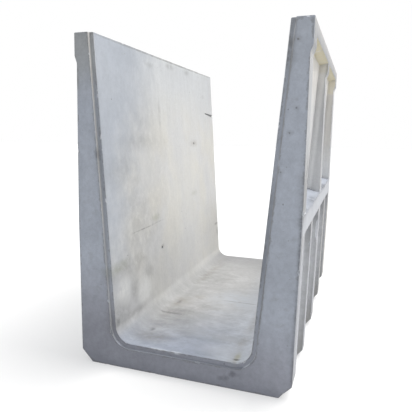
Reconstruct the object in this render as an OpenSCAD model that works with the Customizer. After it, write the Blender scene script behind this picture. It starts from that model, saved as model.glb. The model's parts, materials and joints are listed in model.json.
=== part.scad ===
// Precast concrete flume channel: a thin-walled U section cast in one piece with its outer ribs and beams.
// Millimetres. X runs across the channel, Y along the flow and Z up, from the middle of the underside.

/* [Overall size] */
// length of one unit along the flow
unit_len = 2000; // [1600:50:2500]
// height from the underside to the top of the walls
unit_h = 1650; // [1400:10:1900]
// width over the outer faces of the top beams
top_w = 1112; // [1090:2:1200]

/* [Waterway] */
// clear width between the walls, on the line of the floor
inner_floor_w = 678; // [560:2:700]
// clear width between the walls at the top
inner_top_w = 914; // [800:2:920]
// thickness of the floor slab
floor_t = 125; // [100:5:160]
// radius of the fillet between floor and wall
floor_fillet_r = 80; // [20:5:120]

/* [Wall panels] */
// distance from the mid-plane to the back of the panel, at the underside
panel_foot_x = 426; // [410:1:440]
// the same distance at the top of the wall
panel_top_x = 509; // [495:1:520]

/* [Ribs] */
// width over the ribs just below the top beams
rib_top_w = 1088; // [1070:2:1100]
// width over the ribs at the mid-height beam
rib_mid_w = 1092; // [1070:2:1110]
// width over the ribs at their feet
rib_foot_w = 1068; // [1030:2:1080]
// width of the slanting cut at the bottom corner of the two end ribs
end_cut_w = 58; // [20:2:90]
// height of the same cut
end_cut_h = 62; // [20:2:100]
// width of the slanting cut at the bottom corner of the ribs between them
inner_cut_w = 34; // [10:2:60]
// height of the same cut
inner_cut_h = 40; // [10:2:70]
// thickness of the ribs at the two ends, along the flow
end_rib_t = 135; // [90:5:180]
// thickness of the rib at mid-length
mid_rib_t = 110; // [70:5:150]
// thickness of the short ribs at the quarter points
short_rib_t = 70; // [50:5:110]

/* [Beams] */
// height of the top beam's outer face between the ribs
top_beam_h = 64; // [50:2:90]
// height of the thicker head that the top beam has on each full rib
rib_head_h = 110; // [90:5:140]
// height of the splay under each head
head_splay_h = 35; // [15:5:60]
// underside of the mid-height beam, above the underside of the unit
mid_beam_z = 740; // [600:10:850]
// height of the mid-height beam's outer face
mid_beam_h = 94; // [70:2:130]
// rise of the mid-height beam's sloping top, from its outer edge to the panel
ledge_rise = 27; // [10:1:50]

/* [Joint recess] */
// width of the recess round the waterway at each end
recess_w = 22; // [15:1:35]
// depth of the recess
recess_d = 15; // [8:1:25]

/* [Hidden] */
$fn = 72;
concrete = "lightgray";
overrun = 10;           // how far a cut runs past the surface it opens
underside_fall = 10;    // drop of a beam's underside from its outer edge to the panel
mid_beam_top = mid_beam_z + mid_beam_h;

// the straight line through (z0, x0) and (z1, x1), read at height z
function on_line(z, z0, x0, z1, x1) = x0 + (x1 - x0) * (z - z0) / (z1 - z0);
function inner_x(z) = on_line(z, floor_t, inner_floor_w / 2, unit_h, inner_top_w / 2);
function panel_x(z) = on_line(z, 0, panel_foot_x, unit_h, panel_top_x);
function rib_x(z) = z < mid_beam_z
    ? on_line(z, 0, rib_foot_w / 2, mid_beam_z, rib_mid_w / 2)
    : on_line(z, mid_beam_z, rib_mid_w / 2, unit_h - rib_head_h - head_splay_h, rib_top_w / 2);

// extrudes a cross-section over a stretch of the flow direction
module along_flow(y0, y1) {
    translate([0, y1, 0]) rotate([90, 0, 0]) linear_extrude(y1 - y0) children();
}

module both_sides() {
    children();
    mirror([1, 0, 0]) children();
}

// the waterway, widened all round by grow and open at the top
module waterway_section(grow) {
    lean = atan((inner_x(unit_h) - inner_x(floor_t)) / (unit_h - floor_t));
    centre_x = inner_x(floor_t) - floor_fillet_r * tan((90 - lean) / 2);
    centre_z = floor_t + floor_fillet_r;
    r = floor_fillet_r + grow;
    top_z = unit_h + overrun;
    both_sides() {
        translate([centre_x, centre_z]) circle(r);
        polygon([
            [0, centre_z - r], [centre_x, centre_z - r],
            [centre_x + r * cos(lean), centre_z - r * sin(lean)],
            [inner_x(top_z) + grow / cos(lean), top_z], [0, top_z]
        ]);
    }
}

// the plain U that runs the whole length, with no ribs or beams
module shell_section() {
    polygon([
        [-panel_x(0), 0], [panel_x(0), 0],
        [panel_x(unit_h), unit_h], [-panel_x(unit_h), unit_h]
    ]);
}

// one side's rib from its cut foot up to the mid-height beam
module rib_foot_section(cut_w, cut_h) {
    root_x = inner_x(floor_t) - floor_fillet_r;
    polygon([
        [root_x, 0], [rib_x(0) - cut_w, 0], [rib_x(cut_h), cut_h],
        [rib_x(mid_beam_z), mid_beam_z], [inner_x(mid_beam_z), mid_beam_z], [root_x, floor_t]
    ]);
}

// one side's full-height rib, with the head that meets the top beam
module full_rib_section(cut_w, cut_h) {
    head_z = unit_h - rib_head_h;
    splay_z = head_z - head_splay_h;
    rib_foot_section(cut_w, cut_h);
    polygon([
        [inner_x(mid_beam_z), mid_beam_z], [rib_x(mid_beam_z), mid_beam_z],
        [rib_x(splay_z), splay_z], [top_w / 2, head_z],
        [top_w / 2, unit_h], [inner_x(unit_h), unit_h]
    ]);
}

module top_beam_section() {
    edge_z = unit_h - top_beam_h;
    polygon([
        [panel_x(edge_z) - overrun, edge_z - underside_fall], [panel_x(edge_z), edge_z - underside_fall],
        [top_w / 2, edge_z], [top_w / 2, unit_h], [inner_x(unit_h), unit_h]
    ]);
}

module mid_beam_section() {
    polygon([
        [panel_x(mid_beam_z) - overrun, mid_beam_z - underside_fall],
        [panel_x(mid_beam_z), mid_beam_z - underside_fall],
        [rib_x(mid_beam_z), mid_beam_z],
        [rib_x(mid_beam_z), mid_beam_top],
        [panel_x(mid_beam_top), mid_beam_top + ledge_rise],
        [panel_x(mid_beam_top) - overrun, mid_beam_top + ledge_rise]
    ]);
}

module ribs() {
    half = unit_len / 2;
    short_y = unit_len / 4;
    for (span = [[-half, -half + end_rib_t], [half - end_rib_t, half]])
        along_flow(span[0], span[1]) full_rib_section(end_cut_w, end_cut_h);
    along_flow(-mid_rib_t / 2, mid_rib_t / 2) full_rib_section(inner_cut_w, inner_cut_h);
    for (y = [-short_y, short_y])
        along_flow(y - short_rib_t / 2, y + short_rib_t / 2) rib_foot_section(inner_cut_w, inner_cut_h);
}

module beams() {
    along_flow(-unit_len / 2, unit_len / 2) {
        top_beam_section();
        mid_beam_section();
    }
}

module channel_body() {
    half = unit_len / 2;
    color(concrete) difference() {
        union() {
            along_flow(-half, half) shell_section();
            both_sides() {
                ribs();
                beams();
            }
        }
        along_flow(-half - overrun, half + overrun) waterway_section(0);
        along_flow(-half - overrun, -half + recess_d) waterway_section(recess_w);
        along_flow(half - recess_d, half + overrun) waterway_section(recess_w);
    }
}

channel_body();
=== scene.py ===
import json
import math
import random

import bmesh
import bpy
from mathutils import Matrix, Vector
from mathutils.kdtree import KDTree

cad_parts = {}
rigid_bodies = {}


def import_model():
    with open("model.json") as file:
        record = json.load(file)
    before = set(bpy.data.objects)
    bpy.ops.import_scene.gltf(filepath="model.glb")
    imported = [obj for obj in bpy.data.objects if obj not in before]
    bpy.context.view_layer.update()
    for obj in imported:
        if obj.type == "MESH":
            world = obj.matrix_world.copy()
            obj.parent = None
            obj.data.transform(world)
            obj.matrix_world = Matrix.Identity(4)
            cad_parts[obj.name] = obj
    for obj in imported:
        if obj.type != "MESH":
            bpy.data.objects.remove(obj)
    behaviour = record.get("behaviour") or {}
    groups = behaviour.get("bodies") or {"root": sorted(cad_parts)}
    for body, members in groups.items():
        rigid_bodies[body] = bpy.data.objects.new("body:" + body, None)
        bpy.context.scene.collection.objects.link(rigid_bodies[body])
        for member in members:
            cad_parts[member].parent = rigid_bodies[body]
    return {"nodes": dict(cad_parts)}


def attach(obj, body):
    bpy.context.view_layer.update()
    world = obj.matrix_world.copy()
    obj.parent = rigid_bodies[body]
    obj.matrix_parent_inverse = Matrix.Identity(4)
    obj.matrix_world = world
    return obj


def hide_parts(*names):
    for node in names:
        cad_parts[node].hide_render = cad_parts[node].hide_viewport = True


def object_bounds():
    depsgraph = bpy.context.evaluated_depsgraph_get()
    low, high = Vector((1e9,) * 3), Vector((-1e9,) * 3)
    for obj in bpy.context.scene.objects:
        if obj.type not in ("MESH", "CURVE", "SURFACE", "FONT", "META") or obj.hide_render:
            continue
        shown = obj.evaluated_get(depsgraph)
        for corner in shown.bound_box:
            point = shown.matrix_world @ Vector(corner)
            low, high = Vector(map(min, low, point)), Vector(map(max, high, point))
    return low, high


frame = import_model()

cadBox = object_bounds()
print("frame loaded")


def joined(operation, swapped=False):
    # an operator that adds a Math node to the tree
    def method(self, other):
        return self.desk.math(operation, *((other, self) if swapped else (self, other)))
    return method


class Term:
    # one socket of a tree; an expression on terms adds its Math nodes
    __add__, __radd__ = joined("ADD"), joined("ADD", True)
    __sub__, __rsub__ = joined("SUBTRACT"), joined("SUBTRACT", True)
    __mul__, __rmul__ = joined("MULTIPLY"), joined("MULTIPLY", True)
    __rtruediv__ = joined("DIVIDE", True)
    __pow__ = joined("POWER")

    def __init__(self, desk, socket):
        self.desk = desk
        self.socket = socket

    def __neg__(self):
        return self.desk.math("MULTIPLY", self, -1.0)

    def __abs__(self):
        return self.desk.math("ABSOLUTE", self)

    def __getitem__(self, name):
        return Term(self.desk, self.socket.node.outputs[name])


class Desk:
    # puts nodes into one tree
    def __init__(self, tree):
        self.tree = tree

    def add(self, kind, settings=None, values=None, outlet=0):
        node = self.tree.nodes.new(kind)
        for name, value in (settings or {}).items():
            setattr(node, name, value)
        for key, value in (values or {}).items():
            for one in value if isinstance(value, list) else [value]:
                self.feed(node.inputs[key], one)
        return Term(self, node.outputs[outlet]) if len(node.outputs) else node

    def feed(self, socket, value):
        if isinstance(value, Term):
            self.tree.links.new(value.socket, socket)
        else:
            socket.default_value = value

    def math(self, operation, *terms):
        return self.add("ShaderNodeMath", {"operation": operation}, dict(enumerate(terms)))

    def ramp(self, value, low, high, outLow=0.0, outHigh=1.0):
        return self.add("ShaderNodeMapRange", {"interpolation_type": "SMOOTHSTEP"},
                        {0: value, 1: low, 2: high, 3: outLow, 4: outHigh})

    def blend(self, factor, *colours):
        # each colour is a term, a value or the name of a palette entry
        first, second = (tone(*palette[one]) if isinstance(one, str) else one for one in colours)
        return self.add("ShaderNodeMix", {"data_type": "RGBA"}, {0: factor, 6: first, 7: second}, outlet=2)

    def vector(self, operation, *terms, outlet=0):
        return self.add("ShaderNodeVectorMath", {"operation": operation}, dict(enumerate(terms)), outlet)

    def scaled(self, value, scale):
        return self.add("ShaderNodeVectorMath", {"operation": "SCALE"}, {0: value, "Scale": scale})

    def joinXyz(self, x, y, z):
        return self.add("ShaderNodeCombineXYZ", {}, {0: x, 1: y, 2: z})

    def split(self, value):
        parts = self.add("ShaderNodeSeparateXYZ", {}, {0: value})
        return parts, parts["Y"], parts["Z"]

    def noise(self, place, size, detail, rough=0.55, warp=0.0):
        # size is the width of one blob, or one width for each axis
        if isinstance(size, tuple):
            place = self.vector("MULTIPLY", place, tuple(1.0 / one for one in size))
            size = 1.0
        return self.add("ShaderNodeTexNoise", {}, {
            "Vector": place, "Scale": 1.0 / size, "Detail": detail, "Roughness": rough, "Distortion": warp})

    def named(self, name):
        return self.add("GeometryNodeInputNamedAttribute", {"data_type": "FLOAT"}, {"Name": name})

    def chance(self, seed):
        # a number from 0 to 1 for each point
        return self.add("FunctionNodeRandomValue", {"data_type": "FLOAT"}, {"Seed": seed}, outlet=1)


def tone(red, green, blue):
    # the linear colour that a socket takes for a display colour
    def straighten(value):
        value = value / 255.0
        return value / 12.92 if value <= 0.04045 else ((value + 0.055) / 1.055) ** 2.4
    return (straighten(red), straighten(green), straighten(blue), 1.0)


def freshMaterial(name):
    material = bpy.data.materials.new(name)
    material.use_nodes = True
    material.node_tree.nodes.clear()
    return material, Desk(material.node_tree)


def addObject(name, data):
    item = bpy.data.objects.new(name, data)
    bpy.context.scene.collection.objects.link(item)
    return item


def meshFrom(name, work):
    data = bpy.data.meshes.new(name)
    work.to_mesh(data)
    work.free()
    return data


# geometry trees, each turned into a plain mesh once it has run

def socketsFor(sizes):
    return {name: "Int" if isinstance(value, int) else "Float" for name, value in sizes.items()}


def freshTree(name, inputs):
    tree = bpy.data.node_groups.new(name, "GeometryNodeTree")
    tree.interface.new_socket("Geometry", in_out="INPUT", socket_type="NodeSocketGeometry")
    for label, kind in {**inputs, "Material": "Material"}.items():
        tree.interface.new_socket(label, in_out="INPUT", socket_type="NodeSocket" + kind)
    tree.interface.new_socket("Geometry", in_out="OUTPUT", socket_type="NodeSocketGeometry")
    desk = Desk(tree)
    return tree, desk, desk.add("NodeGroupInput")


def endTree(desk, start, geometry):
    whole = desk.add("GeometryNodeRealizeInstances", {}, {0: geometry})
    painted = desk.add("GeometryNodeSetMaterial", {}, {0: whole, "Material": start["Material"]})
    desk.add("NodeGroupOutput", {}, {0: painted})


def cutAway(desk, start, tools):
    cut = desk.add("GeometryNodeMeshBoolean", {"solver": "MANIFOLD", "operation": "DIFFERENCE"},
                   {"Mesh 1": start, "Mesh 2": tools})
    endTree(desk, start, cut)


def runTree(item, tree, values):
    modifier = item.modifiers.new(tree.name, "NODES")
    modifier.node_group = tree
    values = {**values, "Material": item.data.materials[0]}
    for socket in tree.interface.items_tree:
        if socket.item_type == "SOCKET" and socket.in_out == "INPUT" and socket.name in values:
            modifier[socket.identifier] = values[socket.name]
    bakeModifiers(item)


def bakeModifiers(item):
    shown = item.evaluated_get(bpy.context.evaluated_depsgraph_get())
    finished = bpy.data.meshes.new_from_object(shown)
    item.modifiers.clear()
    finished.name = item.name
    item.data = finished


# the casting's mesh: the frame's node merged, its arrises rounded, and quads fine enough to be uneven

castSizes = {
    "weld": 0.0008,  # points closer than this become one
    "flatAngle": 0.6,  # degrees; flatter joins are dissolved
    "arrisAngle": 25.0,  # degrees; sharper edges are rounded
    "arrisRadius": 0.005,
    "arrisSteps": 2,
    "gridStep": 0.032,  # side of the quads
    "gridSlack": 0.00001,  # a cut this close to a point goes through it
    "lineStep": 0.008,  # between the points that stand for a corner or an arris
    "lineWeld": 0.0001,
    "dirtReach": 0.035,  # how far the painted shade spreads from a corner, and dirt and darkening from an arris
    "nickAngle": 40.0,  # degrees; sharper arrises can be nicked
    "smoothAngle": 32.0,  # degrees; sharper edges stay sharp
}
waterway = {
    # half its width at the height of the underside, and how much wider for each metre up
    "foot": 0.3293, "lean": 0.07738,
    "margin": 0.0057,  # how much further out still counts as inside
    "floor": 0.12,
}


def faceAngle(edge):
    return math.degrees(edge.calc_face_angle(0.0))


def cleanCopy(node):
    work = bmesh.new()
    work.from_mesh(node.data)
    bmesh.ops.remove_doubles(work, verts=work.verts, dist=castSizes["weld"])
    bmesh.ops.dissolve_limit(work, angle_limit=math.radians(castSizes["flatAngle"]),
                             verts=work.verts, edges=work.edges, delimit={"NORMAL"})
    return work


def roundEdges(work, edges):
    return bmesh.ops.bevel(work, geom=edges, affect="EDGES", offset=castSizes["arrisRadius"],
                           segments=castSizes["arrisSteps"], profile=0.5, clamp_overlap=False,
                           miter_outer="ARC")["faces"]


def markRims(work, rounded):
    # 1 on the line of points that runs along the middle of an outward arris, 0 elsewhere
    rim = work.verts.layers.float.new("rimPoint")
    faces = set(rounded)
    for vert in {v for f in rounded for v in f.verts}:
        if all(f in faces for f in vert.link_faces):
            middle = sum((e.other_vert(vert).co for e in vert.link_edges), Vector()) / len(vert.link_edges)
            if (middle - vert.co).dot(vert.normal) < 0:
                vert[rim] = 1.0


def cutGrid(work, box):
    low, high = box
    for axis in range(3):
        count = int((high[axis] - low[axis]) / castSizes["gridStep"])
        for i in range(1, count):
            place = Vector(low)
            place[axis] = low[axis] + (high[axis] - low[axis]) * i / count
            normal = Vector([float(axis == j) for j in range(3)])
            bmesh.ops.bisect_plane(work, geom=work.verts[:] + work.edges[:] + work.faces[:],
                                   plane_co=place, plane_no=normal, dist=castSizes["gridSlack"])


def putInOrder(work):
    # the cuts leave the faces in an order that changes, and the places drawn at random follow it
    fresh = bmesh.new()
    rimBefore = work.verts.layers.float["rimPoint"]
    rimAfter = fresh.verts.layers.float.new("rimPoint")
    work.verts.index_update()
    for vert in work.verts:
        fresh.verts.new(vert.co)[rimAfter] = vert[rimBefore]
    fresh.verts.ensure_lookup_table()
    rings = []
    for face in work.faces:
        ring = [v.index for v in face.verts]
        first = ring.index(min(ring))
        rings.append((ring[first:] + ring[:first], face.smooth))
    for ring, smooth in sorted(rings):
        fresh.faces.new([fresh.verts[i] for i in ring]).smooth = smooth
    fresh.normal_update()
    work.free()
    return fresh


def cornerLines(work, outward):
    # points along every inner corner, or along every outward arris
    points = []
    for edge in work.edges:
        if faceAngle(edge) > castSizes["arrisAngle"] and edge.is_convex == outward:
            first, last = (v.co for v in edge.verts)
            count = max(1, int(edge.calc_length() / castSizes["lineStep"]))
            points += [first.lerp(last, i / count) for i in range(count + 1)]
    tree = KDTree(len(points))
    for i, point in enumerate(points):
        tree.insert(point, i)
    tree.balance()
    return tree


def storeCorners(work, creases, arrises):
    # nearness to corners and arrises, stored where the cuts to come carry it over
    rimPoint = work.verts.layers.float["rimPoint"]
    rim = work.loops.layers.float.new("rim")
    crease = work.loops.layers.float.new("crease")
    edge = work.loops.layers.float.new("edge")
    reach = castSizes["dirtReach"]
    for vert in work.verts:
        inner = max(0.0, 1.0 - creases.find(vert.co)[2] / reach)
        outer = max(0.0, 1.0 - arrises.find(vert.co)[2] / reach)
        for loop in vert.link_loops:
            loop[rim] = vert[rimPoint]
            loop[crease] = inner
            loop[edge] = outer


knocks = {
    # how hard each kind of arris has been hit, from 0 to 1
    "lip": 1.0, "foot": 0.75, "top": 0.6, "lowRib": 0.55, "end": 0.5, "elsewhere": 0.3,
    # where each kind is, in metres from the middle of the underside
    "endY": 0.98, "lipX": 0.36, "lipZ": 0.2, "footZ": 0.1, "topZ": 1.6, "ribX": 0.5, "ribZ": 0.72,
}


def wearOf(point):
    atEnd = abs(point.y) > knocks["endY"]
    if point.z < knocks["footZ"]:
        return knocks["foot"]
    if atEnd and abs(point.x) < knocks["lipX"] and point.z < knocks["lipZ"]:
        return knocks["lip"]
    if point.z > knocks["topZ"]:
        return knocks["top"]
    if abs(point.x) > knocks["ribX"] and point.z < knocks["ribZ"]:
        return knocks["lowRib"]
    return knocks["end"] if atEnd else knocks["elsewhere"]


def arrisLines(work):
    # outward arrises as bare lines, with how hard each has been knocked
    lines = bmesh.new()
    wear = lines.verts.layers.float.new("wear")
    for edge in work.edges:
        if faceAngle(edge) < castSizes["nickAngle"] or not edge.is_convex:
            continue
        knocked = wearOf((edge.verts[0].co + edge.verts[1].co) / 2)
        ends = [lines.verts.new(v.co) for v in edge.verts]
        for end in ends:
            end[wear] = knocked
        lines.edges.new(ends)
    bmesh.ops.remove_doubles(lines, verts=lines.verts, dist=castSizes["lineWeld"])
    return addObject("arrisLines", meshFrom("arrisLines", lines))


# the casting's own unevenness

unevenSizes = {
    "Broad Size": 0.38, "Broad Depth": 0.0016,
    "Fine Size": 0.07, "Fine Depth": 0.0006,
    "Bed Height": 0.004,  # nothing moves below this, so that the underside stays flat
}


def unevenTree():
    tree, desk, start = freshTree("unevenFaces", socketsFor(unevenSizes))
    place = desk.add("GeometryNodeInputPosition")
    high = desk.math("GREATER_THAN", desk.split(place)[2], start["Bed Height"])
    broad = desk.noise(place, 1.0, detail=1.0)
    fine = desk.noise(place, 1.0, detail=2.0)
    for grain, name in ((broad, "Broad Size"), (fine, "Fine Size")):
        desk.feed(grain.socket.node.inputs["Scale"], 1.0 / start[name])
    depth = broad * start["Broad Depth"] + fine * start["Fine Depth"]
    push = desk.scaled(desk.add("GeometryNodeInputNormal"), -(depth * high))
    endTree(desk, start, desk.add("GeometryNodeSetPosition", {}, {0: start, "Offset": push}))
    return tree


# air holes left by the mould, thickest on the upright faces

holeSizes = {"Per Square Metre": 60.0, "Apart": 0.014, "Smallest": 0.0012, "Largest": 0.0048, "Seed": 11}
holeShape = {
    "rarity": 3.5,  # the higher, the rarer the large ones
    "lift": 0.3,  # of the ball's middle off the face, in radii
    "depth": 0.85,  # in radii
    "segments": 9, "rings": 6,
    "flat": 0.08,  # share of the holes that a level face gets
    "inWaterway": 0.35,  # share that the waterway gets
}


def airHoleTree():
    tree, desk, start = freshTree("airHoles", {**socketsFor(holeSizes), "Tool": "Object"})
    share = desk.named("holeShare")
    spread = desk.add("GeometryNodeDistributePointsOnFaces", {"distribute_method": "POISSON"}, {
        "Mesh": start, "Distance Min": start["Apart"], "Density Max": start["Per Square Metre"],
        "Density Factor": share, "Seed": start["Seed"]})
    chance = desk.chance(start["Seed"])
    span = start["Largest"] - start["Smallest"]
    radius = start["Smallest"] + span * chance ** holeShape["rarity"]
    lift = desk.scaled(spread["Normal"], radius * holeShape["lift"])
    raised = desk.add("GeometryNodeSetPosition", {}, {0: spread, "Offset": lift})
    tool = desk.add("GeometryNodeObjectInfo", {}, {"Object": start["Tool"]}, outlet="Geometry")
    size = desk.joinXyz(radius, radius, radius * holeShape["depth"])
    holes = desk.add("GeometryNodeInstanceOnPoints", {}, {
        0: raised, "Instance": tool, "Rotation": spread["Rotation"], "Scale": size})
    cutAway(desk, start, holes)
    return tree


# nicks along the arrises, and single scars

nickSizes = {"Spacing": 0.013, "Share": 0.14, "Smallest": 0.0022, "Largest": 0.0085, "Seed": 5}
nickShape = {
    "rarity": 2.5,  # the higher, the rarer the deep ones
    "length": (1.3, 1.9),  # in depths: the least, and how much more at most
    "tilt": 0.5,  # radians
    "kinds": 6, "rough": 0.24, "seed": 40,
    "scarRough": 0.14, "scarSeed": 70,
}
scarSizes = {
    # name: place, half sizes, degrees turned about X
    "farGouge": ((-0.4335, 0.9, 1.327), (0.008, 0.16, 0.0085), -4.0),
    "highPit": ((-0.4165, 0.44, 1.104), (0.006, 0.016, 0.008), 0.0),
    "lowPit": ((-0.3685, -0.308, 0.469), (0.006, 0.01, 0.008), 0.0),
    "headPit": ((0.492, -1.002, 1.56), (0.0055, 0.006, 0.006), 0.0),
    "legPitUpper": ((0.497, -1.002, 1.286), (0.0045, 0.005, 0.006), 0.0),
    "legPitMiddle": ((0.474, -1.002, 1.183), (0.0035, 0.005, 0.005), 0.0),
    "legPitLower": ((0.445, -1.002, 1.018), (0.0045, 0.005, 0.0045), 0.0),
    "ribSpall": ((0.549, -0.052, 0.61), (0.02, 0.026, 0.07), 0.0),
    "lipChipLeft": ((-0.1, -0.989, 0.128), (0.028, 0.012, 0.009), 0.0),
    "lipChipMiddle": ((-0.02, -0.988, 0.127), (0.016, 0.01, 0.007), 0.0),
    "lipChipRight": ((0.08, -0.989, 0.128), (0.022, 0.011, 0.008), 0.0),
    "lipChipCorner": ((0.262, -0.988, 0.131), (0.02, 0.012, 0.011), 0.0),
}


def nickTree():
    tree, desk, start = freshTree("arrisNicks", {
        "Lines": "Object", "Tools": "Collection", "Scars": "Collection", **socketsFor(nickSizes)})
    lines = desk.add("GeometryNodeObjectInfo", {}, {"Object": start["Lines"]}, outlet="Geometry")
    curves = desk.add("GeometryNodeMeshToCurve", {}, {0: lines})
    places = desk.add("GeometryNodeCurveToPoints", {"mode": "LENGTH"},
                      {0: curves, "Length": start["Spacing"]})
    wear = desk.named("wear")

    def chance(step):
        return desk.chance(start["Seed"] + step)

    missed = desk.math("GREATER_THAN", chance(0), start["Share"] * wear)
    knocked = desk.add("GeometryNodeDeleteGeometry", {"domain": "POINT"}, {0: places, 1: missed})
    span = start["Largest"] - start["Smallest"]
    depth = start["Smallest"] + span * chance(1) ** nickShape["rarity"]
    least, more = nickShape["length"]
    size = desk.joinXyz(depth, depth, depth * (least + more * chance(2)))
    tilt = nickShape["tilt"]
    spin = desk.joinXyz(chance(4) * tilt, chance(5) * tilt, chance(3) * math.tau)
    turned = desk.add("FunctionNodeRotateRotation", {"rotation_space": "LOCAL"}, {
        0: places["Rotation"], 1: desk.add("FunctionNodeEulerToRotation", {}, {0: spin})})
    tools = desk.add("GeometryNodeCollectionInfo", {}, {
        "Collection": start["Tools"], "Separate Children": True, "Reset Children": True})
    nicks = desk.add("GeometryNodeInstanceOnPoints", {}, {
        0: knocked, "Instance": tools, "Pick Instance": True, "Rotation": turned, "Scale": size})
    scars = desk.add("GeometryNodeCollectionInfo", {}, {
        "Collection": start["Scars"], "Separate Children": True})
    cutAway(desk, start, [nicks, scars])
    return tree


def markFaces(data, mark):
    data.attributes.new(mark, "FLOAT", "FACE").data.foreach_set("value", [1.0] * len(data.polygons))


def lumpMesh(name, seed, rough, mark):
    # a rough ball of radius 1 that marks the faces it cuts
    work = bmesh.new()
    bmesh.ops.create_icosphere(work, subdivisions=2, radius=1.0)
    chance = random.Random(seed)
    for vert in work.verts:
        vert.co *= 1.0 + chance.uniform(-rough, rough)
    data = meshFrom(name, work)
    markFaces(data, mark)
    return data


def holeTool():
    work = bmesh.new()
    bmesh.ops.create_uvsphere(work, u_segments=holeShape["segments"], v_segments=holeShape["rings"],
                              radius=1.0)
    data = meshFrom("holeTool", work)
    markFaces(data, "pit")
    return addObject("holeTool", data)


def nickTools():
    tools = bpy.data.collections.new("nickTools")
    for i in range(nickShape["kinds"]):
        lump = lumpMesh("nickTool%d" % i, nickShape["seed"] + i, nickShape["rough"], "broken")
        tools.objects.link(bpy.data.objects.new(lump.name, lump))
    return tools


def scarTools():
    scars = bpy.data.collections.new("scarTools")
    for i, (name, (place, half, turn)) in enumerate(scarSizes.items()):
        mark = "broken" if name.startswith(("lip", "rib")) else "pit"
        lump = lumpMesh(name, nickShape["scarSeed"] + i, nickShape["scarRough"], mark)
        lump.transform(Matrix.Translation(place) @ Matrix.Rotation(math.radians(turn), 4, "X")
                       @ Matrix.Diagonal((*half, 1.0)))
        scars.objects.link(bpy.data.objects.new(name, lump))
    return scars


def shareHoles(data):
    # how readily each face holds air: an upright one most, a level one least
    values = []
    for vert in data.vertices:
        reach = waterway["foot"] + waterway["margin"] + waterway["lean"] * vert.co.z
        inWaterway = abs(vert.co.x) < reach and vert.co.z > waterway["floor"]
        upright = 1.0 - abs(vert.normal.z)
        share = holeShape["flat"] + (1.0 - holeShape["flat"]) * upright
        values.append(share * (holeShape["inWaterway"] if inWaterway else 1.0))
    data.attributes.new("holeShare", "FLOAT", "POINT").data.foreach_set("value", values)


def report(stage, item):
    print(stage + ":", len(item.data.polygons), "faces")


def dropObject(item):
    data = item.data
    bpy.data.objects.remove(item)
    bpy.data.meshes.remove(data)


def makeCasting(concrete):
    work = cleanCopy(frame["nodes"]["channel_body"])
    creases = cornerLines(work, False)
    arrises = cornerLines(work, True)
    lines = arrisLines(work)
    sharp = [e for e in work.edges if faceAngle(e) > castSizes["arrisAngle"]]
    markRims(work, roundEdges(work, sharp))
    cutGrid(work, cadBox)
    work = putInOrder(work)
    storeCorners(work, creases, arrises)
    casting = addObject("channelCasting", meshFrom("channelCasting", work))
    casting.data.materials.append(concrete)
    report("casting rounded and gridded", casting)

    runTree(casting, unevenTree(), unevenSizes)
    shareHoles(casting.data)
    tool = holeTool()
    runTree(casting, airHoleTree(), {**holeSizes, "Tool": tool})
    report("air holes cut", casting)

    runTree(casting, nickTree(), {**nickSizes, "Lines": lines, "Tools": nickTools(), "Scars": scarTools()})
    report("arrises nicked", casting)
    dropObject(lines)
    dropObject(tool)
    for name in ("nickTools", "scarTools"):
        group = bpy.data.collections[name]
        for item in list(group.objects):
            dropObject(item)
        bpy.data.collections.remove(group)

    low, high = cadBox
    for vert in casting.data.vertices:
        vert.co = [min(max(vert.co[i], low[i]), high[i]) for i in range(3)]
    casting.data.set_sharp_from_angle(angle=math.radians(castSizes["smoothAngle"]))
    flatten = casting.modifiers.new("weightedNormals", "WEIGHTED_NORMAL")
    flatten.keep_sharp = True
    bakeModifiers(casting)
    return casting


# the concrete

palette = {
    # display colours from 0 to 255
    "wall": (219, 219, 219), "wallWarm": (221, 219, 213), "wallHigh": (208, 210, 212),
    "wallCool": (181, 186, 194), "wallLow": (198, 198, 198),
    "floorNear": (162, 168, 181), "floorMiddle": (190, 190, 190),
    "floorFar": (146, 146, 147), "floorRight": (214, 218, 225),
    "endLeg": (188, 194, 205), "endSlab": (163, 165, 175), "endHigh": (162, 163, 160),
    "outer": (191, 192, 194), "beam": (198, 200, 205), "upward": (157, 162, 172),
    "ribLow": (187, 189, 194), "ribFar": (184, 183, 178), "ribSide": (217, 218, 220),
    "ribFace": (242, 243, 244), "bay": (216, 216, 216), "pocket": (207, 209, 213),
    "warm": (225, 217, 189), "warmGrey": (225, 221, 214), "pale": (226, 226, 224),
    "chalk": (204, 208, 214), "bright": (226, 229, 234), "cool": (168, 174, 188),
    # the grime colour serves for real dirt and also for painted shade
    "grime": (124, 123, 121), "soil": (140, 131, 116), "moss": (138, 142, 108),
    "rust": (172, 167, 118), "hollow": (104, 104, 106), "deep": (84, 84, 87),
    "black": (52, 52, 54),
}
grains = {
    # name: size of one blob in metres, octaves, roughness, warp
    "broad": (0.42, 3.0, 0.55, 0.0),
    "middle": (0.11, 4.0, 0.60, 0.0),
    "cloud": ((0.13, 0.09, 0.09), 5.0, 0.62, 0.25),
    "scuff": ((0.060, 0.040, 0.040), 5.0, 0.70, 0.25),
    "small": (0.022, 4.0, 0.65, 0.0),
    "speck": (0.004, 2.0, 0.70, 0.0),
    "runs": ((0.035, 0.035, 0.75), 3.0, 0.55, 0.0),
    "sweep": ((0.24, 0.048, 0.048), 4.0, 0.62, 0.7),
}
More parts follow.
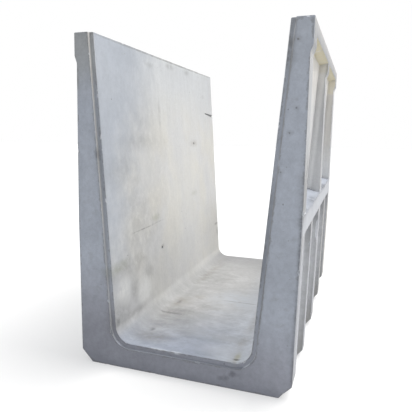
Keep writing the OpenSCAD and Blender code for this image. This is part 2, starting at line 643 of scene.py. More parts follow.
spans = {
    # name: where one look begins to pass into the next, where it has, how far a grain moves that
    # parts of the casting; turns are shares of a normal, depths lie behind the waterway's side
    "end": (0.978, 0.982), "faced": (0.5, 0.9), "bayDepth": (0.025, 0.035), "upright": (0.5, 0.2),
    "rimY": (-0.975, -0.985), "rimZ": (0.22, 0.3), "liningDepth": (0.004, 0.001), "liningZ": (0.11, 0.118),
    "floorTurn": (0.05, 0.85), "floorFlat": (0.8, 0.97), "left": (0.1, -0.1), "right": (0.0, 0.1),
    # the waterway
    "wallWarm": (0.35, 0.65), "wallHigh": (1.05, 1.6, 0.15), "wallCool": (-0.35, -1.0),
    "wallLow": (0.75, 0.25, 0.2), "wallLowNear": (0.1, -0.4), "floorNear": (-0.95, -0.2),
    "floorRight": (0.05, 0.28, 0.1), "floorFar": (0.38, 0.98), "floorAcross": (-0.32, 0.05),
    "floorMidNear": (-0.75, -0.4), "floorMidFar": (0.75, 0.35), "farShade": (0.4, 1.0),
    "farShadeLow": (0.8, 0.4), "farLip": (0.965, 0.985),
    # the end faces
    "endLeg": (0.1, 0.5), "endHigh": (1.28, 1.6, 0.15), "leftShadeFrom": (0.5, 0.8),
    "leftShadeTo": (1.5, 1.3), "rightShadeFrom": (0.35, 0.5), "rightShadeTo": (0.85, 0.7),
    "slabSlant": (0.3, 0.15),
    # the outer sides
    "ribDepth": (0.105, 0.085), "ribFar": (-0.2, 0.8, 0.6), "ribSide": (0.8, 0.5),
    "ribHigh": (0.6, 0.74, 0.12), "beamFrom": (0.735, 0.745), "beamTo": (0.86, 0.84), "bayFrom": (0.7, 0.8),
    "facingFrom": (0.72, 0.78), "ribFace": (1.4, 0.85), "bayWarm": (1.25, 1.5), "bayLight": (1.44, 1.52),
    "ribTopShade": (1.5, 1.56), "lowFace": (1.28, 0.95), "farFace": (1.42, 1.47), "farRibs": (0.3, 0.5),
    "soiled": (0.74, 0.68), "outermost": (0.512, 0.532), "soiledFoot": (0.42, 0.1), "upward": (0.35, 0.75),
    # mottle, stains, and painted warm bounce light and light
    "scuffNear": (0.3, -0.4), "ribScuff": (0.78, 0.7), "smudge": (0.58, 0.74), "farBay": (0.4, 0.6),
    "underBeam": (1.515, 1.54), "belowTop": (1.602, 1.598), "turnedDown": (-0.25, -0.5),
    "turnedNear": (-0.5, -0.8), "warmDepth": (0.02, 0.03), "warmPatch": (0.05, 0.5), "farSide": (0.45, 0.55),
    "farSideTop": (1.46, 1.5), "farSideWarm": (0.9, 1.2), "mud": (0.18, 0.02, 0.12),
    "mudDepth": (0.05, 0.07), "mudPatch": (0.25, 0.7), "foot": (0.045, 0.0), "footZ": (0.16, 0.135),
    "footRun": (0.38, 0.6), "footPatch": (0.15, 0.8), "markPatch": (0.2, 0.62),
    # arrises, corners and the step round the waterway
    "lipZ": (0.24, 0.16), "lipY": (0.95, 0.97), "rim": (0.15, 0.9), "edge": (0.72, 1.0),
    "crease": (0.3, 1.1, 0.5), "rimLow": (0.6, 0.4), "rimRibs": (0.8, 0.76), "rimTop": (1.63, 1.6),
    "sill": (0.012, 0.008), "sillTurn": (0.2, 0.5), "sillY": (0.975, 0.983), "stepArris": (0.0055, 0.003),
    "stepPatch": (0.3, 0.55), "stepDepth": (0.019, 0.016), "stepLeftFrom": (0.35, 0.9),
    "stepLeftTo": (1.52, 1.42), "stepRightTo": (1.0, 0.86), "stepRightFrom": (0.4, 0.64),
}
paint = {
    # how strongly each kind of unevenness shows, as a share of the tone
    "broad": 0.1, "middle": 0.18, "small": 0.2, "smallAtEnd": 1.1, "smallOnFloor": 0.8, "speck": 0.22,
    "runs": 0.12, "sweep": 0.19,
    "blotch": 0.4,  # cloudy patches on the floor
    "scuff": 0.46,  # the same, smaller and only on the near half
    "scuffOnWall": 0.25, "endCloud": 0.22, "ribScuff": 0.6, "smudge": 0.27, "smudgeOffEnd": 0.35,
    "smudgeInside": 0.7,
    # how much of a tone, a light or a shade shows in its place
    "coolLean": 0.45,  # towards the near end, for each metre of height
    "coolLevel": 1.0, "coolWander": 0.4, "wallLow": (0.25, 0.5), "floorWander": 0.25, "floorSlant": 0.6,
    "floorRight": 0.85, "floorLeast": 0.9, "floorMidway": 0.06, "farShade": 0.07, "farShadeLow": 0.21,
    "farLip": 0.1, "endWander": 0.1, "endRise": 0.05, "endLeftDrop": 0.16, "endHigh": 0.12,
    "endHighLeft": 0.58, "legShade": 0.06, "slabSlant": 0.16, "ribFaceHigh": 0.2, "bayWarm": 0.6,
    "bayWarmFacing": 0.4, "bayLight": 0.2, "bayLightFacing": 0.7, "ribTopShade": 0.21, "lowFace": 0.4,
    "lowFaceFar": 0.34, "farFace": 0.7, "soiledOutermost": 0.13, "soiledFoot": 0.23, "farBayDrop": 0.045,
    "beamWander": 0.05, "warmOnSide": 0.25, "warm": 0.95, "farSide": 0.32, "farSideWarm": 0.6, "mud": 0.42,
    "footX": 0.258, "footWander": 0.05, "foot": 0.5,
    # arrises, corners and the step
    "rimLeast": 0.6, "rimMiddle": 0.8, "edgeSmall": 1.3, "edgeMiddle": 0.6, "edgeDirt": 0.5,
    "edgeOffEnd": 0.25, "creaseDirt": 0.5, "creaseLeft": 0.2, "creaseInBay": 0.6, "creaseAtLip": 0.7,
    "creaseRim": 0.4, "rimLight": 0.45, "rimOnRibs": 0.5, "rimLeftLeg": 0.33, "endEdge": 0.05,
    "lipDark": 0.5, "sillZ": 0.103, "sillShade": 0.22, "stepLine": 0.0225, "stepSoil": 0.5, "stepDark": 0.12,
    "stepShade": 0.3, "stepShadeLeast": 0.3, "broken": 0.5, "brokenAtLip": 0.35, "pit": 0.45,
    # relief too fine for the mesh, and gloss
    "bumpMiddle": 0.35, "bumpSmall": 0.45, "bumpSpeck": 0.35, "bump": 0.4, "bumpDepth": 0.0016, "rough": 0.8,
    "roughMiddle": 0.14, "specular": 0.35,
}
markSizes = {
    "soft": 0.9,
    "wide": 0.055,  # a mark with a longer half size is patchy
    "wander": 1.4,
    "patchGain": 1.3,
}
marks = {
    # name: place, half sizes, palette entry, strength, softness from 0 to 1 if not the usual
    "wallBand": (-0.415, -0.52, 1.12, 0.06, 0.3, 0.04, "grime", 0.14),
    "wallShadeHigh": (-0.424, -0.56, 1.23, 0.06, 0.14, 0.09, "grime", 0.1),
    "wallShadeNear": (-0.392, -0.68, 0.82, 0.06, 0.12, 0.2, "grime", 0.11),
    "wallSunHigh": (-0.408, -0.4, 1.02, 0.06, 0.1, 0.14, "pale", 0.3),
    "wallBandLow": (-0.405, -0.8, 0.98, 0.06, 0.18, 0.07, "grime", 0.16),
    "wallSun": (-0.395, -0.42, 0.94, 0.06, 0.13, 0.12, "pale", 0.35, 0.8),
    "wallSunFar": (-0.39, 0.24, 0.74, 0.06, 0.26, 0.5, "pale", 0.42),
    "wallMiddle": (-0.4, -0.4, 0.92, 0.06, 0.15, 0.55, "grime", 0.16),
    "wallShade": (-0.385, -0.63, 0.64, 0.06, 0.16, 0.17, "grime", 0.2),
    "wallCloud": (-0.365, -0.8, 0.455, 0.06, 0.2, 0.045, "grime", 0.25, 0.8),
    "wallCloudMoss": (-0.365, -0.9, 0.49, 0.05, 0.09, 0.025, "moss", 0.22),
    "wallCloudEnd": (-0.355, -0.53, 0.375, 0.05, 0.05, 0.035, "grime", 0.28),
    "wallOvalNear": (-0.357, -0.862, 0.355, 0.05, 0.06, 0.068, "pale", 0.75, 0.7),
    "wallOvalFar": (-0.351, -0.605, 0.278, 0.05, 0.08, 0.064, "pale", 0.95, 0.7),
    "wallOvalGap": (-0.355, -0.738, 0.325, 0.05, 0.04, 0.065, "grime", 0.28),
    "wallFoot": (-0.345, -0.93, 0.235, 0.05, 0.12, 0.07, "grime", 0.3, 0.8),
    "wallFootFar": (-0.345, -0.72, 0.2, 0.05, 0.12, 0.025, "grime", 0.3, 0.8),
    "wallSmudge": (-0.3425, -0.955, 0.215, 0.03, 0.018, 0.018, "black", 0.36, 0.8),
    "wallPitHalo": (-0.4165, 0.44, 1.105, 0.03, 0.06, 0.02, "soil", 0.26, 1.0),
    "wallPitLow": (-0.367, -0.3, 0.472, 0.03, 0.024, 0.01, "black", 0.42),
    "wallStreak": (-0.431, -0.215, 1.28, 0.03, 0.018, 0.1, "grime", 0.22),
    "wallSpotFar": (-0.386, 0.385, 0.735, 0.03, 0.05, 0.014, "moss", 0.2, 1.0),
    "wallScratch": (-0.3785, -0.55, 0.632, 0.03, 0.13, 0.003, "black", 0.32),
    "wallScratchEnd": (-0.3785, -0.345, 0.637, 0.03, 0.09, 0.003, "black", 0.18),
    "wallScratchRust": (-0.381, -0.375, 0.668, 0.03, 0.05, 0.016, "moss", 0.3, 1.0),
    "wallFarLow": (-0.361, 0.935, 0.412, 0.03, 0.05, 0.009, "black", 0.4, 0.7),
    "wallFarLower": (-0.356, 0.965, 0.34, 0.03, 0.03, 0.03, "black", 0.32, 0.8),
    "wallTopLine": (-0.457, 0.05, 1.6415, 0.03, 1.0, 0.0055, "grime", 0.45, 0.8),
    "wallTopSmudgeA": (-0.453, 0.02, 1.612, 0.03, 0.06, 0.016, "grime", 0.3, 1.0),
    "wallTopSmudgeB": (-0.453, 0.36, 1.612, 0.03, 0.05, 0.016, "grime", 0.28, 1.0),
    "wallTopSmudgeC": (-0.451, -0.33, 1.58, 0.03, 0.05, 0.014, "grime", 0.24, 1.0),
    "wallTopSmudgeD": (-0.441, 0.72, 1.465, 0.03, 0.035, 0.012, "grime", 0.18, 1.0),
    "floorSpotA": (-0.2525, -0.292, 0.125, 0.012, 0.026, 0.03, "black", 0.4),
    "floorSpotAHalo": (-0.235, -0.26, 0.125, 0.05, 0.085, 0.03, "soil", 0.24, 1.0),
    "floorSpotB": (-0.16, -0.155, 0.125, 0.03, 0.03, 0.03, "soil", 0.28, 1.0),
    "floorLine": (-0.225, -0.495, 0.125, 0.07, 0.013, 0.03, "black", 0.4, 0.7),
    "floorLineFar": (-0.185, -0.44, 0.125, 0.075, 0.04, 0.03, "grime", 0.42),
    "floorSpotC": (-0.236, -0.762, 0.125, 0.011, 0.018, 0.03, "black", 0.5),
    "floorPatchA": (-0.195, -0.85, 0.125, 0.085, 0.06, 0.03, "grime", 0.5),
    "floorPatchB": (-0.035, -0.73, 0.125, 0.06, 0.05, 0.03, "grime", 0.28),
    "floorPatchC": (0.165, -0.73, 0.125, 0.11, 0.04, 0.03, "grime", 0.28, 1.0),
    "floorShadeFar": (-0.16, 0.34, 0.125, 0.11, 0.24, 0.04, "grime", 0.27),
    "floorPaleA": (0.11, -0.14, 0.125, 0.15, 0.11, 0.03, "chalk", 0.75, 0.8),
    "floorPaleB": (0.05, -0.56, 0.125, 0.1, 0.07, 0.03, "chalk", 0.35),
    "floorShade": (-0.2, -0.58, 0.125, 0.15, 0.16, 0.05, "grime", 0.38),
    "floorPaleD": (0.104, -0.04, 0.125, 0.12, 0.13, 0.03, "chalk", 0.35),
    "floorPaleE": (0.084, -0.72, 0.125, 0.11, 0.05, 0.03, "chalk", 0.3),
    "floorPaleF": (0.075, -0.36, 0.125, 0.1, 0.08, 0.03, "chalk", 0.38),
    "floorShadeMiddle": (-0.06, -0.33, 0.125, 0.055, 0.035, 0.03, "grime", 0.26),
    "floorShadeSide": (-0.235, -0.1, 0.13, 0.06, 0.11, 0.04, "grime", 0.22),
    "floorShadeEnd": (-0.25, 0.62, 0.13, 0.08, 0.17, 0.06, "grime", 0.16),
    "floorShadeEdge": (-0.29, 0.21, 0.13, 0.06, 0.2, 0.06, "grime", 0.18),
    "floorShadeNear": (-0.26, -0.76, 0.13, 0.06, 0.07, 0.05, "grime", 0.22),
    "floorPaleC": (0.19, -0.88, 0.125, 0.12, 0.05, 0.03, "chalk", 0.35),
    "floorJoint": (0.11, -0.162, 0.125, 0.11, 0.0035, 0.03, "grime", 0.6, 0.5),
    "floorRust": (0.268, -0.925, 0.13, 0.011, 0.04, 0.03, "rust", 0.45, 1.0),
    "floorRustLine": (0.27, -0.95, 0.13, 0.014, 0.008, 0.03, "black", 0.7, 0.8),
    "lipPaleLeft": (-0.105, -0.988, 0.124, 0.045, 0.012, 0.006, "bright", 0.55, 0.6),
    "lipPaleRight": (-0.02, -0.988, 0.122, 0.028, 0.012, 0.008, "bright", 0.6, 0.6),
    "slabBlotch": (0.262, -1.0, 0.076, 0.016, 0.03, 0.012, "black", 0.42, 0.8),
    "slabSmudgeA": (0.228, -1.0, 0.05, 0.014, 0.03, 0.012, "black", 0.26),
    "slabSmudgeB": (0.205, -1.0, 0.046, 0.01, 0.03, 0.009, "black", 0.18),
    "legSmudgeLeft": (-0.437, -1.0, 1.075, 0.012, 0.03, 0.024, "black", 0.42),
    "legSmudgeEdge": (-0.545, -1.0, 1.42, 0.012, 0.03, 0.03, "grime", 0.55, 0.8),
    "legPitHaloA": (0.492, -1.0, 1.56, 0.014, 0.03, 0.014, "grime", 0.2),
    "legPitHaloB": (0.497, -1.0, 1.286, 0.013, 0.03, 0.013, "grime", 0.22),
    "legPitHaloC": (0.474, -1.0, 1.183, 0.012, 0.03, 0.011, "grime", 0.2),
    "legPitHaloD": (0.445, -1.0, 1.018, 0.012, 0.03, 0.012, "grime", 0.22),
    # painted shade on the right leg's step near its top, on the end rib's outer face and along the right
    # leg's outer edge
    "stepTopDark": (0.458, -0.99, 1.57, 0.02, 0.03, 0.12, "grime", 0.5, 0.8),
    "ribShade": (0.546, -0.93, 0.94, 0.03, 0.08, 0.13, "grime", 0.38, 0.8),
    "legEdgeDark": (0.546, -1.0, 0.76, 0.014, 0.03, 0.16, "deep", 0.45, 0.8),
    "legEdgeDarkLow": (0.541, -1.0, 0.52, 0.012, 0.03, 0.2, "deep", 0.24, 0.6),
    "legEdgeDarkFoot": (0.536, -1.0, 0.24, 0.012, 0.03, 0.2, "deep", 0.24, 0.6),
    "ledgeStroke": (0.5, -0.55, 0.85, 0.06, 0.06, 0.05, "cool", 0.5),
    "ledgeMarkNear": (0.545, -0.44, 0.843, 0.03, 0.17, 0.01, "black", 0.5, 0.7),
    "ledgeMarkFar": (0.545, 0.31, 0.836, 0.03, 0.16, 0.01, "black", 0.45, 0.7),
    "ledgeSpot": (0.52, -0.79, 0.832, 0.025, 0.025, 0.02, "black", 0.4, 0.7),
}


def ragged(value, amount, grain):
    # the value with a grain added, so that the border it makes wanders
    return value + amount * (grain - 0.5)


def atLeast(name, mask):
    # rises with the mask from the named share of the paint to 1
    return paint[name] + (1.0 - paint[name]) * mask


def lessBy(name, mask):
    # falls with the mask from 1 by the named share
    return 1.0 - paint[name] * mask


class Place(Desk):
    # a desk that knows where a shading point is, and the patterns that the paint shares
    def __init__(self, tree):
        super().__init__(tree)
        coords = self.add("ShaderNodeTexCoord")
        self.spot = coords["Object"]
        self.x, self.y, self.z = self.split(self.spot)
        self.nx, self.ny, self.nz = self.split(coords["Normal"])
        self.beyond = abs(self.x) - (waterway["foot"] + waterway["lean"] * self.z)
        for name, grain in grains.items():
            setattr(self, name, self.noise(self.spot, *grain))
        self.atEnd = self.span("end", abs(self.y)) * self.span("faced", abs(self.ny))
        self.offEnd = 1.0 - self.atEnd
        self.inBay = self.span("bayDepth", self.beyond) * self.offEnd
        self.rimZone = self.span("rimY", self.y) * self.span("rimZ", self.z)
        self.inside = self.span("liningDepth", self.beyond) * self.span("liningZ", self.z) * self.offEnd
        self.floorPart = self.span("floorTurn", self.nz)
        self.flatFloor = self.inside * self.span("floorFlat", self.nz)

    def span(self, name, value, grain=None):
        # 0 before the named span and 1 beyond it
        low, high, *wander = spans[name]
        if grain is not None:
            value = ragged(value, wander[0], grain)
        return self.ramp(value, low, high)

    def stored(self, name):
        return self.add("ShaderNodeAttribute", {"attribute_name": name}, outlet="Fac")

    def vary(self, coat, name, grain, mask=1.0):
        # the colour darkened and lightened by the named share
        return self.scaled(coat, 1.0 + (grain - 0.5) * mask * paint[name])


def wallTone(at):
    wall = at.blend(at.span("wallWarm", at.broad), "wall", "wallWarm")
    wall = at.blend(at.span("wallHigh", at.z, at.middle), wall, "wallHigh")
    # painted shadow: the wall turns cool and darker towards the near end, reaching further along it higher
    # up
    cool = ragged(at.y, paint["coolWander"], at.middle) - paint["coolLean"] * (at.z - paint["coolLevel"])
    return at.blend(at.span("wallCool", cool), wall, "wallCool")


def floorTone(at):
    along = ragged(at.y, paint["floorWander"], at.cloud)
    near = at.span("floorNear", along - paint["floorSlant"] * at.x)
    floor = at.blend(near, "floorNear", "floorMiddle")
    right = at.span("floorRight", at.x, at.cloud) * paint["floorRight"]
    floor = at.blend(right, floor, "floorRight")
    floor = at.blend(at.span("floorFar", along), floor, "floorFar")
    # painted shade and light: the floor and its fillet darker towards the left wall, which holds down the
    # brightly lit fillet, and a little lighter midway along towards the right
    across = at.span("floorAcross", at.x)
    midway = at.span("floorMidNear", at.y) * at.span("floorMidFar", at.y)
    light = atLeast("floorLeast", across) + paint["floorMidway"] * across * midway
    return at.scaled(floor, light)


def liningTone(at):
    wall = wallTone(at)
    floor = floorTone(at)
    lowWall = at.span("wallLow", at.z, at.cloud) * at.ramp(at.y, *spans["wallLowNear"], *paint["wallLow"])
    wall = at.blend(lowWall, wall, "wallLow")
    lining = at.blend(at.floorPart, wall, floor)
    # painted shade on the far stretch of the wall, deepest low down, and along the far edge of the waterway
    shade = at.span("farShade", at.y)
    shade = shade * (paint["farShade"] + paint["farShadeLow"] * at.span("farShadeLow", at.z))
    shade = shade * (1.0 - at.floorPart)
    return at.scaled(lining, 1.0 - shade - paint["farLip"] * at.span("farLip", at.y))


def endTone(at):
    left = at.span("left", at.x)
    up = ragged(at.z, paint["endWander"], at.middle) + paint["endRise"] - paint["endLeftDrop"] * left
    ends = at.blend(at.span("endLeg", up), "endSlab", "endLeg")
    high = at.span("endHigh", at.z, at.middle) * (paint["endHigh"] + paint["endHighLeft"] * left)
    ends = at.blend(high, ends, "endHigh")
    onLeft = paint["legShade"] * left * at.span("leftShadeFrom", at.z) * at.span("leftShadeTo", at.z)
    onRight = paint["legShade"] * (1.0 - left)
    onRight = onRight * at.span("rightShadeFrom", at.z) * at.span("rightShadeTo", at.z)
    light = 1.0 - (onLeft + onRight) + paint["slabSlant"] * at.x * at.span("slabSlant", at.z)
    return at.scaled(ends, light)


def outerTone(at):
    # the ribs and beams, the bays between them, and the faces that look up; painted light on the faces
    # turned along the casting and near the top of the bays, painted warm bounce light high in the bays, and
    # painted shade on the top beam and on the faces that look up
    behindRibs = at.span("ribDepth", at.beyond)
    ribs = at.blend(at.span("ribFar", at.y, at.broad), "ribLow", "ribFar")
    ribs = at.blend(at.span("ribSide", abs(at.nx)), ribs, "ribSide")
    ribs = at.blend(at.span("ribHigh", at.z, at.cloud), ribs, "outer")
    ribs = at.blend(at.span("beamFrom", at.z) * at.span("beamTo", at.z), ribs, "beam")
    bays = at.blend(at.span("bayFrom", at.z), "pocket", "bay")
    facing = at.span("faced", abs(at.ny)) * at.span("facingFrom", at.z)
    # painted light: rib faces turned along the casting in the bays take a near-white tone, most towards the
    # bottom
    face = facing * at.ramp(at.z, *spans["ribFace"], paint["ribFaceHigh"])
    bays = at.blend(face, bays, "ribFace")
    # painted warm bounce light high in the bays, less on the faces turned along the casting
    warm = at.span("bayWarm", at.z) * (paint["bayWarm"] - paint["bayWarmFacing"] * facing)
    bays = at.blend(warm, bays, "warmGrey")
    light = paint["bayLight"] * at.span("bayLight", at.z) * lessBy("bayLightFacing", facing)
    bays = at.scaled(bays, 1.0 + light)
    ribs = at.scaled(ribs, lessBy("ribTopShade", at.span("ribTopShade", at.z)))
    # painted light on the lower rib faces turned along the casting, more on the far ribs, and high on the
    # far ribs' faces
    lowFace = facing * at.span("lowFace", at.z)
    lowFace = lowFace * (paint["lowFace"] + paint["lowFaceFar"] * at.span("farRibs", at.y))
    farFace = facing * at.span("farFace", at.z) * at.span("farRibs", at.y)
    ribs = at.blend(lowFace + farFace * paint["farFace"], ribs, "ribFace")
    outer = at.blend(behindRibs, ribs, bays)
    # the faces turned along the casting low on the outer sides made darker, more towards the foot and near
    # their outer edge
    soiled = at.span("faced", abs(at.ny)) * at.span("soiled", at.z)
    outermost = at.span("outermost", abs(at.x))
    depth = paint["soiledOutermost"] * outermost + paint["soiledFoot"] * at.span("soiledFoot", at.z)
    outer = at.scaled(outer, 1.0 - soiled * depth)
    # painted shade: the faces that look up take a darker tone, holding down the strong light from above
    return at.blend(at.span("upward", at.nz), outer, "upward")


def baseTone(at):
    lining = liningTone(at)
    ends = endTone(at)
    coat = at.blend(at.inside, outerTone(at), lining)
    return at.blend(at.atEnd, coat, ends)


def addMottle(at, coat):
    coat = at.vary(coat, "broad", at.broad)
    coat = at.vary(coat, "middle", at.middle)
    pitted = 1.0 + paint["smallAtEnd"] * at.atEnd + paint["smallOnFloor"] * at.flatFloor
    coat = at.vary(coat, "small", at.small, pitted)
    coat = at.vary(coat, "speck", at.speck)
    coat = at.vary(coat, "runs", at.runs, at.span("upright", abs(at.nz)))
    coat = at.vary(coat, "sweep", at.sweep, at.flatFloor * (0.5 + at.middle))
    coat = at.vary(coat, "blotch", at.cloud, at.inside * at.floorPart)
    scuffed = at.inside * atLeast("scuffOnWall", at.floorPart) * at.span("scuffNear", at.y)
    coat = at.vary(coat, "scuff", at.scuff, scuffed)
    coat = at.vary(coat, "endCloud", at.cloud, at.atEnd)
    coat = at.vary(coat, "ribScuff", at.scuff, at.inBay * at.span("ribScuff", at.z))
    smudge = at.span("smudge", at.cloud) * atLeast("smudgeOffEnd", at.atEnd)
    smudge = smudge * lessBy("smudgeInside", at.inside)
    return at.blend(smudge * paint["smudge"], coat, "grime")


def addStainsAndBounceLight(at, coat):
    # painted warm bounce light under the top beam, painted light and warm bounce light on the bays' faces
    # turned to the near end, mud at the foot, and soil along the waterway's sides
    lower = paint["farBayDrop"] * at.span("farBay", at.y)
    high = at.span("underBeam", ragged(at.z, paint["beamWander"], at.middle) + lower)
    high = high * at.span("belowTop", at.z)
    down = at.span("turnedDown", at.nz)
    onSide = at.span("turnedNear", at.ny) * atLeast("warmOnSide", at.span("farBay", at.y))
    warm = high * at.math("MAXIMUM", down, onSide) * at.span("warmDepth", at.beyond) * at.offEnd
    coat = at.blend(warm * at.span("warmPatch", at.cloud) * paint["warm"], coat, "warm")
    # painted light and warm bounce light high on the bay faces turned to the near end, in the far half
    farSide = at.span("farSide", at.y) * at.span("turnedNear", at.ny) * at.inBay
    light = 1.0 + paint["farSide"] * farSide * at.span("farSideTop", at.z)
    coat = at.scaled(coat, light)
    warm = farSide * at.span("farSideWarm", at.z) * paint["farSideWarm"]
    coat = at.blend(warm, coat, "warmGrey")
    muddy = at.span("mud", at.z, at.middle) * at.span("mudDepth", at.beyond) * at.offEnd
    coat = at.blend(muddy * at.span("mudPatch", at.scuff) * paint["mud"], coat, "soil")
    offFoot = abs(ragged(abs(at.x) - paint["footX"], paint["footWander"], at.middle))
    foot = at.span("foot", offFoot) * at.inside * at.span("footZ", at.z) * at.span("footRun", at.broad)
    return at.blend(foot * at.span("footPatch", at.scuff) * paint["foot"], coat, "soil")


def addEdges(at, coat):
    lip = at.span("lipZ", at.z) * at.span("lipY", abs(at.y))
    rim = at.span("rim", at.stored("rim") * (paint["rimLeast"] + paint["rimMiddle"] * at.middle))
    edge = ragged(at.stored("edge"), paint["edgeSmall"], at.small)
    edge = at.span("edge", ragged(edge, paint["edgeMiddle"], at.middle))
    dirt = edge * paint["edgeDirt"] * atLeast("edgeOffEnd", at.atEnd) * (1.0 - rim)
    coat = at.blend(dirt, coat, "grime")
    # painted shade in the inner corners, less at the ends and none on the right leg there, less in the bays,
    # at the lip and low on the step
    crease = at.span("crease", at.stored("crease"), at.middle)
    right = at.span("right", at.x)
    held = 1.0 - at.atEnd * atLeast("creaseLeft", right)
    held = held * lessBy("creaseInBay", at.inBay) * lessBy("creaseAtLip", lip)
    held = held * (1.0 - paint["creaseRim"] * at.rimZone * at.span("rimLow", at.z))
    coat = at.blend(crease * paint["creaseDirt"] * held, coat, "grime")
    # a painted highlight along the middle of the outward arrises, stronger on the low ribs, weaker on the
    # left leg's step, none at the top or along the lip
    onRibs = at.inBay * at.span("rimRibs", at.z)
    light = paint["rimLight"] + paint["rimOnRibs"] * onRibs
    light = light - paint["rimLeftLeg"] * at.rimZone * (1.0 - right)
    light = light * at.span("rimTop", at.z)
    coat = at.blend(rim * light * (1.0 - lip), coat, "bright")
    # the end faces a little darker near their arrises
    endArrisDarker = paint["endEdge"] * at.stored("edge") * at.atEnd * (1.0 - rim)
    coat = at.scaled(coat, 1.0 - endArrisDarker)
    # painted shade on the arris along the lip, which the light from above would catch
    coat = at.blend(rim * lip * paint["lipDark"], coat, "deep")
    # painted shade on the step's upward ledge under the lip at the ends
    sill = at.span("sill", abs(at.z - paint["sillZ"])) * at.span("sillTurn", at.nz)
    sill = sill * at.span("sillY", abs(at.y))
    coat = at.scaled(coat, lessBy("sillShade", sill))
    coat = addStep(at, coat, right)
    broken = at.stored("broken") * (paint["broken"] - paint["brokenAtLip"] * lip)
    coat = at.blend(broken, coat, "chalk")
    # painted shade inside the air holes, the pits and the gouge
    return at.blend(at.stored("pit") * paint["pit"], coat, "hollow")


def addStep(at, coat, right):
    # a painted shadow line along the step's arris on the right leg, and painted shade on the step, deepest
    # at mid-height; on the left leg the step is painted lighter near its foot and its top
    arris = at.span("stepArris", abs(at.beyond - paint["stepLine"])) * right * at.rimZone
    soil = arris * at.span("stepPatch", at.middle) * paint["stepSoil"]
    coat = at.blend(soil, coat, "grime")
    onStep = at.span("stepDepth", at.beyond) * at.rimZone
    darkLeft = (at.span("stepLeftFrom", at.z) * at.span("stepLeftTo", at.z) * 2.0 - 1.0) * paint["stepDark"]
    least = paint["stepShadeLeast"]
    darkRight = (1.0 - least) * at.span("stepRightTo", at.z) * at.span("stepRightFrom", at.z)
    darkRight = (least + darkRight) * paint["stepShade"]
    return at.scaled(coat, 1.0 - onStep * (right * darkRight + (1.0 - right) * darkLeft))


def addMarks(at, coat):
    for row in marks.values():
        place, half, (shade, strength, *soft) = row[:3], row[3:6], row[6:]
        soft = soft[0] if soft else markSizes["soft"]
        away = at.vector("DIVIDE", at.vector("SUBTRACT", at.spot, place), half)
        wide = max(half[1:]) > markSizes["wide"]
        away = at.vector("LENGTH", away, outlet="Value")
        away = ragged(away, markSizes["wander"], at.cloud if wide else at.small)
        cover = at.ramp(away, 1.0 + soft, 1.0 - soft) * strength
        if wide:
            cover = cover * at.span("markPatch", at.scuff) * markSizes["patchGain"]
        coat = at.blend(cover, coat, shade)
    return coat


def paintConcrete():
    material, desk = freshMaterial("castConcrete")
    at = Place(desk.tree)
    coat = addMottle(at, baseTone(at))
    coat = addStainsAndBounceLight(at, coat)
    coat = addMarks(at, coat)
    coat = addEdges(at, coat)
    height = at.middle * paint["bumpMiddle"] + at.small * paint["bumpSmall"] + at.speck * paint["bumpSpeck"]
    bump = at.add("ShaderNodeBump", {}, {
        "Strength": paint["bump"], "Distance": paint["bumpDepth"], "Height": height})
    skin = at.add("ShaderNodeBsdfPrincipled", {}, {
        "Base Color": coat, "Roughness": paint["rough"] + paint["roughMiddle"] * at.middle,
        "Normal": bump, "Specular IOR Level": paint["specular"]})
    at.add("ShaderNodeOutputMaterial", {}, {"Surface": skin})
    return material


casting = makeCasting(paintConcrete())
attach(casting, "root")
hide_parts("channel_body")
report("casting finished", casting)


# floor, light and camera

studio = {
    "floorHalf": 40.0,
    "floorTone": (0.43, 0.43, 0.43, 1.0),
    "backdropTone": (1.0, 1.0, 1.0, 1.0),
    "floorGlow": 0.5,  # only as the camera sees it
    "skyStrength": 0.62,
    "skyTone": (0.94, 0.965, 1.0, 1.0),
    "keyFrom": (0.33, 0.34, 0.88),
    "keySpread": 45.0,  # degrees
    "keyStrength": 1.15,  # 1 lights a white surface to white
    "lampTone": (1.0, 0.985, 0.96),
    "sideFrom": (0.85, 0.15, 0.5),
    "sideSpread": 40.0,
    "sideStrength": 0.07,
}


def seenDirectly(desk):
    # 1 for what the camera, a reflection or a refraction shows, 0 for light
    path = desk.add("ShaderNodeLightPath")
    seen = desk.math("MAXIMUM", path, path["Is Glossy Ray"])
    return desk.math("MAXIMUM", seen, path["Is Transmission Ray"])


def makeFloor():
    half = studio["floorHalf"]
    data = bpy.data.meshes.new("studioFloor")
    corners = [(-half, -half, 0), (half, -half, 0), (half, half, 0), (-half, half, 0)]
    data.from_pydata(corners, [], [(0, 1, 2, 3)])
    floor = addObject("studioFloor", data)
    material, desk = freshMaterial("studioFloor")
    matt = desk.add("ShaderNodeBsdfDiffuse", {}, {"Color": studio["floorTone"]})
    glow = desk.add("ShaderNodeEmission", {}, {"Strength": seenDirectly(desk) * studio["floorGlow"]})
    both = desk.add("ShaderNodeAddShader", {}, {0: matt, 1: glow})
    desk.add("ShaderNodeOutputMaterial", {}, {"Surface": both})
    data.materials.append(material)


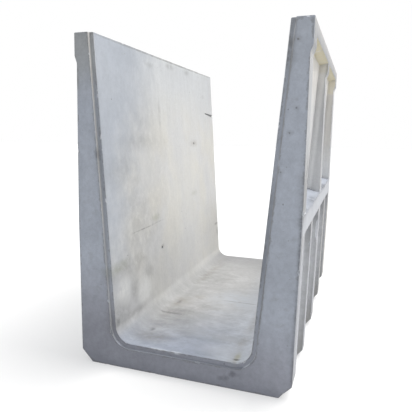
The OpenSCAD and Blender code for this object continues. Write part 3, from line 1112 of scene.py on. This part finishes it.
def makeSky():
    world = bpy.data.worlds.new("studioSky")
    world.use_nodes = True
    world.node_tree.nodes.clear()
    desk = Desk(world.node_tree)
    seen = seenDirectly(desk)
    strength = studio["skyStrength"] + seen * (1.0 - studio["skyStrength"])
    colour = desk.blend(seen, studio["skyTone"], studio["backdropTone"])
    sky = desk.add("ShaderNodeBackground", {}, {"Color": colour, "Strength": strength})
    desk.add("ShaderNodeOutputWorld", {}, {"Surface": sky})
    bpy.context.scene.world = world


def makeLamp(name):
    # a wide soft sun
    lamp = bpy.data.lights.new(name + "Light", "SUN")
    lamp.energy = studio[name + "Strength"] * math.pi
    lamp.angle = math.radians(studio[name + "Spread"])
    lamp.color = studio["lampTone"]
    turn = (-Vector(studio[name + "From"])).to_track_quat("-Z", "Y").to_matrix().to_4x4()
    addObject(name + "Light", lamp).matrix_world = turn


view = {
    "place": (0.7461, -3.1033, 1.1767),
    "yaw": 21.0,  # degrees towards -X from looking along +Y
    "pitch": -8.14,
    "roll": 0.586,
    "lens": 42.85,
    "film": 36.0,
    "shift": (0.0908, -0.0062),
    "reach": 200.0,
}


def makeCamera():
    yaw, pitch, roll = (math.radians(view[name]) for name in ("yaw", "pitch", "roll"))
    ahead = Vector((-math.sin(yaw) * math.cos(pitch), math.cos(yaw) * math.cos(pitch), math.sin(pitch)))
    side = Vector((math.cos(yaw), math.sin(yaw), 0.0))
    up = side.cross(ahead)
    tiltedSide = side * math.cos(roll) + up * math.sin(roll)
    tiltedUp = up * math.cos(roll) - side * math.sin(roll)
    data = bpy.data.cameras.new("viewCamera")
    data.lens = view["lens"]
    data.sensor_width = view["film"]
    data.shift_x, data.shift_y = view["shift"]
    data.clip_end = view["reach"]
    camera = addObject("viewCamera", data)
    turn = Matrix((tiltedSide, tiltedUp, -ahead)).transposed().to_4x4()
    camera.matrix_world = Matrix.Translation(view["place"]) @ turn
    bpy.context.scene.camera = camera


makeFloor()
makeSky()
makeLamp("key")
makeLamp("side")
makeCamera()
bpy.context.scene.view_settings.view_transform = "Standard"
print("studio set")
